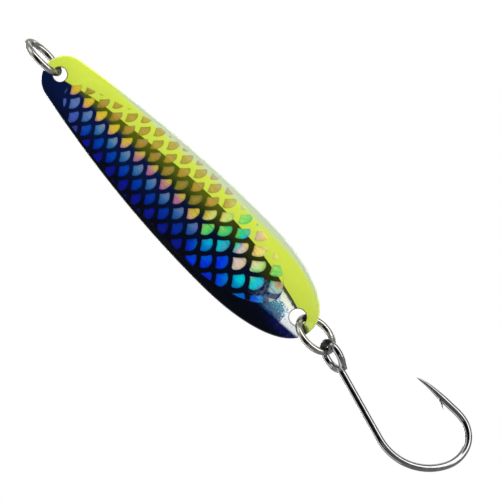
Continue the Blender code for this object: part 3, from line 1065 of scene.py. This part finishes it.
def hologram(sh, vector, u, v, cell):
    """Colour inside the scales: blue to gold across the blade, and a rainbow toward the tail."""
    gap, row, chance, x, y = cell
    fan = sh.math("ARCTAN2", y, x + FAN_CENTER)
    wobble = sh.noise(vector, *WOBBLE) - 0.5
    rays = sh.noise(sh.vector(fan * RAYS_PER_FAN, chance, row), *RAYS)
    head = head_hologram(sh, u, v, gap, row, y, wobble)
    tail = tail_hologram(sh, u, v, row, fan, wobble, chance, rays)
    start = row.smooth(*TAIL_STARTS_LOW) + row.smooth(*TAIL_STARTS_HIGH)
    color = sh.mix((u - start).smooth(*TAIL_BLEND), head, tail)
    glint = sh.noise(vector, *GLINT).smooth(*GLINT_LEVEL) * rays.smooth(*RAYS_LEVEL)
    return sh.tinted(color, glint * gap.smooth(*SCALE_SHADE))


def lacquer(sh, color, metallic, roughness, height, distance):
    """Connect a lacquered finish: base under a clear coat with a faint orange-peel surface."""
    peel = sh.noise(sh.position()[0], *ORANGE_PEEL)
    sh.surface({"Base Color": color, "Metallic": metallic, "Roughness": roughness, "Coat Weight": 1.0,
                "Coat Roughness": COAT_ROUGHNESS, "Specular IOR Level": BASE_SPECULAR,
                "Coat Normal": sh.bump(peel, ORANGE_PEEL_DEPTH), "Normal": sh.bump(height, distance)})


def film_material():
    sh = Shader("holographic_film_under_lacquer")
    vector, u, v = print_place(sh)
    rim = sh.attribute("rim_distance")
    paint, yellow, above = paint_colors(sh, vector, u, v)
    cell = scale_cells(sh, u, v)
    rise = (v - SCALES_START_ABOVE).at_least(0.0)
    covered = u - rise * SCALES_START_SLANT
    to_rim = rim.smooth(*RIM_BARE).at_least(u.smooth(*RIM_COVERED))
    shown = cell[0].smooth(*SCALE_EDGE) * covered.smooth(*SCALES_START)
    shown = shown * v.smooth(*SCALES_BOTTOM) * to_rim
    color = hologram(sh, vector, u, v, cell)
    color = sh.mix(yellow * YELLOW_OVER_SCALES, color, CHARTREUSE)
    # the painted reflection of the yellow edge also lies over the scales near it
    color = sh.mix(v.smooth(*EDGE_REFLECTION_OVER_SCALES), color, EDGE_REFLECTION)
    # painted reflection: streaky blue in place of the paint between the scales near the tail
    streaked_reflection = sh.mix(sh.noise(vector, *REFLECTION_STREAKS).smooth(*REFLECTION_STREAK_LEVEL), REFLECTION_STREAK_DARK, REFLECTION_STREAK_LIGHT)
    base = sh.mix(shown, sh.mix(patch(u, v, *REFLECTION_PATCH), paint, streaked_reflection), color)
    seam = abs(v - SEAM_PLACE).smooth(*SEAM_WIDTH)
    seam = seam * u.smooth(*SEAM_STARTS)
    end_line = rim.smooth(*END_LINE_WIDTH) * u.smooth(*END_LINE_STARTS)
    end_line = end_line * above.smooth(*END_LINE_ABOVE)
    base = sh.mix(seam.at_least(end_line), base, LINE_DARK)
    lacquer(sh, base, shown * FILM_METALLIC, shown.smooth(*FILM_ROUGHNESS), shown, FILM_BUMP)
    return sh.material


def bare_plate(sh, vector, u, v, above):
    """Colour of the bare plating, painted as a flecked reflection, with a ragged dark line where the yellow
    ends.
    """
    grain = sum([sh.noise(vector, *texture) * 0.5 for texture in PLATE_GRAIN])
    # where the painted white and cream highlight shows among the flecks
    highlight = grain + sum([u.smooth(*step) for step in HIGHLIGHT_DOWN])
    highlight = highlight + sum([v.smooth(*step) for step in HIGHLIGHT_ACROSS])
    deep = sh.mix(v.smooth(*DEEP_SIDE), DEEP_TEAL, DEEP_LOW_BLUE)
    specks = sh.noise(vector, *SPECKS).smooth(*SPECK_LEVEL) * u.smooth(*SPECKS_END)
    deep = sh.mix(specks, deep, SPECK_COLOR)
    # painted highlight: white toward the lower side, cream toward the yellow
    highlight_tone = sh.mix(v.smooth(*CREAM_SIDE), HIGHLIGHT_WHITE, HIGHLIGHT_CREAM)
    plate_reflection = sh.mix(highlight.smooth(*FLECKS), deep, highlight_tone)
    ragged = above + (grain - 0.5) * RAGGED_REACH
    return sh.mix(ragged.smooth(*RAGGED_WIDTH), plate_reflection, RAGGED_LINE)


def blade_material():
    sh = Shader("painted_nickel_under_lacquer")
    vector, u, v = print_place(sh)
    paint, yellow, above = paint_colors(sh, vector, u, v)
    lower = v + (BARE_BOTTOM_FROM - u) * BARE_BOTTOM_SLOPE
    bare = patch(u, v, *BARE_STRETCH) * above.smooth(*BARE_TOP) * lower.smooth(*BARE_BOTTOM)
    tip_blue = lower.smooth(*TIP_BLUE_SIDE) * u.smooth(*TIP_BLUE_STARTS) * (1.0 - yellow)
    base = sh.mix(bare, sh.mix(tip_blue, paint, TIP_BLUE), bare_plate(sh, vector, u, v, above))
    # painted shade round the edge of each hole
    for along, radius in HOLES:
        at_u = (along - blade_top) / MM - PRINT_TOP
        edge = distance_to(u, v, at_u, PRINT_SHIFT) - radius / MM
        base = sh.mix(edge.smooth(*HOLE_RIM_SHADE_WIDTH), base, HOLE_RIM_SHADE)
    # painted shadow of the tail ring beside the tail hole
    ring_shadow = distance_to(u, v, *RING_SHADOW_PLACE, RING_SHADOW_SQUEEZE)
    base = sh.mix(ring_shadow.smooth(*RING_SHADOW_RADIUS), base, RING_SHADOW_COLOR)
    roughness = bare.smooth(*BLADE_ROUGHNESS)
    lacquer(sh, base, bare * BARE_METALLIC, roughness, sh.noise(vector, *BLADE_TEXTURE), BLADE_BUMP)
    return sh.material


def nickel_sheet_material():
    """Plain plated sheet: soft waves from pressing, fine rubbing marks and a few duller patches."""
    sh = Shader("polished_nickel")
    vector, x, y, z = sh.position()
    marks = sh.noise(sh.vector(x * MARKS_ACROSS, y, z * MARKS_ALONG), *MARKS)
    patches = sh.noise(vector, *PATCHES)
    tone = sh.mix(marks, SHEET_DARK, SHEET_LIGHT)
    tone = sh.mix(patches.smooth(*PATCH_TONE), tone, SHEET_DULL)
    roughness = marks.smooth(*MARKS_ROUGHNESS) + patches.smooth(*PATCH_ROUGHNESS)
    waves = sh.noise(vector, *WAVES) * WAVE_SHARE + marks * MARK_SHARE
    sh.surface({"Base Color": tone, "Metallic": 1.0, "Roughness": roughness,
                "Normal": sh.bump(waves, SHEET_BUMP)})
    return sh.material


def wire_material(name, tones, roughness, shaded_heights, shade_front):
    """Plated drawn wire with faint lines along it, and painted shade and dark reflection where the links
    meet.

    The painted shade lies within reach of some heights, given as (height, reach), and behind y =
    shade_front.
    """
    sh = Shader(name)
    vector, _, y, z = sh.position()
    around = sh.attribute("wire_around") * DRAWN_AROUND
    along = sh.attribute("wire_along") * DRAWN_ALONG
    drawn = sh.noise(sh.vector(around, along), *DRAWN)
    cloud = sh.noise(vector, *CLOUD)
    color = sh.mix(drawn * 0.5 + cloud * 0.5, *tones)
    # painted shade near the heights where the links meet
    contact_shade = 0.0
    for height, reach in shaded_heights:
        near = abs(z - height / MM)
        contact_shade = near.smooth(reach / MM, reach / MM / 2).at_least(contact_shade)
    # painted shade only behind shade_front, where a ring passes through and behind the blade
    contact_shade = contact_shade * y.smooth(shade_front / MM, (shade_front + CONTACT_SHADE_FADE) / MM)
    sheen = cloud.smooth(*CLOUD_LEVEL, *roughness)
    sh.surface({
        "Base Color": sh.mix(contact_shade, color, CONTACT_SHADE),
        "Metallic": contact_shade.smooth(*CONTACT_SHADE_METALLIC),
        "Specular IOR Level": contact_shade.smooth(*CONTACT_SHADE_SPECULAR),
        "Roughness": sheen + contact_shade * CONTACT_SHADE_ROUGHNESS,
        "Normal": sh.bump(drawn, WIRE_BUMP),
    })
    return sh.material


# ---------------------------------------------------------------- pieces

# heights where the links meet; shade is painted round them on the wires
line_contact = line_ring_center.z - RING_MIDDLE_RADIUS
tail_contact = hook_ring_center.z + RING_MIDDLE_RADIUS - CONTACT_SHADE_DROP
eye_contact = hook_pivot.z + RING_WIRE / 2 + HOOK_WIRE / 2 + LINK_GAP
front_paint = blade_material()
back_nickel = nickel_sheet_material()
ring_nickel = wire_material("bright_nickel_wire", RING_TONES, RING_ROUGHNESS,
                            ((line_contact, LINE_SHADE_REACH), (tail_contact, TAIL_SHADE_REACH)), RING_SHADE_FRONT)
hook_steel = wire_material("black_nickel_wire", HOOK_TONES, HOOK_ROUGHNESS,
                           ((eye_contact, EYE_SHADE_REACH),), HOOK_SHADE_FRONT)

PIECES = ((make_blade([front_paint, back_nickel]), "blade", "blade", "blade_paint"),
          (make_film([film_material()]), "blade", "scale_foil", "scale_foil"),
          (make_ring("line_tie_ring", line_ring_center, LINE_RING_TURN, LINE_RING_BUTT, [ring_nickel]),
           "line_ring", "line_ring", "line_ring"),
          (make_ring("tail_ring", hook_ring_center, HOOK_RING_TURN, HOOK_RING_BUTT, [ring_nickel]),
           "hook_ring", "hook_ring", "hook_ring"),
          (make_hook([hook_steel]), "hook", "hook", "hook"))
for piece, body, node, slot in PIECES:
    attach(piece, body)
    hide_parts(node)


# ---------------------------------------------------------------- studio

# Soft boxes: azimuth and elevation in degrees, distance, width and height in metres, power in watts.
# Azimuth 0 is in front of the painted face and 90 beyond its yellow edge.
SOFT_BOXES = (("key_box", 70, -4, 0.60, 0.30, 1.10, 6.4),
              ("fill_box", -78, 2, 0.70, 0.34, 1.10, 3.3),
              ("top_box", 10, 72, 0.60, 0.50, 0.25, 1.1),
              ("back_box", 205, 20, 0.60, 0.10, 0.50, 2.0),
              ("side_box", 142, 4, 0.60, 0.12, 0.90, 1.0))
TAIL_BOX = ("tail_box", -14, -13.5, 0.50, 0.17, 0.06, 0.05)   # a glint on the bare patch at the tail
TAIL_BOX_AIM = -0.086
WHITE = (1.0, 1.0, 1.0, 1.0)

# Room that reflections see: its level, its falls and rises, and the dark patch on the camera's side
ROOM_LEVEL = 0.62
ROOM_FALL = 0.45      # toward the yellow edge's side, behind the lure
ROOM_RISE = 0.34      # upward
ROOM_DARK = (0.016, 0.016, 0.018, 1.0)
DARK_TURN = radians(-8)
DARK_SQUEEZE = 0.7
DARK_EDGE = (cos(radians(68)), cos(radians(54)))

FLOOR_RADIUS = 2.4
FLOOR_SIDES = 96
FLOOR_HEIGHT = -0.60
FLOOR_TEXTURE = (0.004, 3.0)
FLOOR_TONES = (srgb(168, 168, 168), srgb(174, 174, 174))
FLOOR_ROUGHNESS = 0.8
FLOOR_GLOW = 0.60


def make_camera():
    """Add the camera, and return the direction toward it."""
    toward = Vector((sin(CAMERA_YAW), -cos(CAMERA_YAW), 0.0))
    right = Vector((cos(CAMERA_YAW), sin(CAMERA_YAW), 0.0))
    picture_right = right * sin(PICTURE_TILT) - UP * cos(PICTURE_TILT)
    picture_up = right * cos(PICTURE_TILT) + UP * sin(PICTURE_TILT)
    data = bpy.data.cameras.new("camera")
    data.lens = CAMERA_LENS
    data.sensor_width = SENSOR
    data.clip_start = CAMERA_CLIP[0]
    data.clip_end = CAMERA_CLIP[1]
    camera = place("camera", data)
    aim = right * AIM_ACROSS + UP * AIM_HEIGHT
    turn = Matrix((picture_right, picture_up, toward)).transposed()
    distance = FRAME_WIDTH * CAMERA_LENS / SENSOR
    camera.matrix_world = Matrix.Translation(aim + toward * distance) @ turn.to_4x4()
    bpy.context.scene.camera = camera
    return toward


def soft_box(target, name, azimuth, elevation, distance, width, height, power):
    a, e = radians(azimuth), radians(elevation)
    away = Vector((sin(a) * cos(e), -cos(a) * cos(e), sin(e)))
    data = bpy.data.lights.new(name, "AREA")
    data.shape = "RECTANGLE"
    data.size = width
    data.size_y = height
    data.energy = power
    light = place(name, data)
    light.location = target + away * distance
    light.rotation_mode = "QUATERNION"
    light.rotation_quaternion = away.to_track_quat("Z", "Y")
    light.visible_camera = False


def make_world(toward_camera):
    """White to the camera. Reflections see a grey room with a dark patch on the side of the rest camera."""
    world = bpy.data.worlds.new("studio")
    bpy.context.scene.world = world
    world.use_nodes = True
    sh = Shader("studio", world.node_tree)
    direction = sh.node("ShaderNodeTexCoord").outputs["Generated"]
    middle_of_dark = Matrix.Rotation(DARK_TURN, 3, "Z") @ toward_camera
    toward = {0: direction, 1: middle_of_dark}
    facing = sh.values("ShaderNodeVectorMath", ("Value",), toward, operation="DOT_PRODUCT")[0]
    sideways, behind, height = sh.values("ShaderNodeSeparateXYZ", (0, 1, 2), {0: direction})
    squeezed = facing - height * height * DARK_SQUEEZE
    fall = behind.at_least(0.0) * sideways * ROOM_FALL
    level = ROOM_LEVEL - fall + height * ROOM_RISE
    room = sh.mix(squeezed.smooth(*DARK_EDGE), sh.grey(level), ROOM_DARK)
    seen = sh.node("ShaderNodeLightPath").outputs["Is Camera Ray"]
    sh.put(world.node_tree.nodes["Background"].inputs["Color"], sh.mix(seen, room, WHITE))


def make_floor():
    """Pale round floor, lighter to the camera than in reflections."""
    mesh_data = bmesh.new()
    bmesh.ops.create_circle(mesh_data, cap_ends=True, segments=FLOOR_SIDES, radius=FLOOR_RADIUS)
    mesh = bpy.data.meshes.new("floor")
    mesh_data.to_mesh(mesh)
    mesh_data.free()
    floor = place("floor", mesh)
    floor.location.z = FLOOR_HEIGHT
    sh = Shader("pale_floor")
    seen = sh.values("ShaderNodeLightPath", ("Is Camera Ray",))[0]
    sh.surface({
        "Base Color": sh.mix(sh.noise(sh.position()[0], *FLOOR_TEXTURE), *FLOOR_TONES),
        "Roughness": FLOOR_ROUGHNESS,
        "Emission Color": WHITE,
        "Emission Strength": seen * FLOOR_GLOW,
    })
    mesh.materials.append(sh.material)


make_world(make_camera())
make_floor()
for box in SOFT_BOXES:
    soft_box(UP * AIM_HEIGHT, *box)
soft_box(UP * TAIL_BOX_AIM, *TAIL_BOX)
bpy.context.scene.view_settings.view_transform = "Standard"
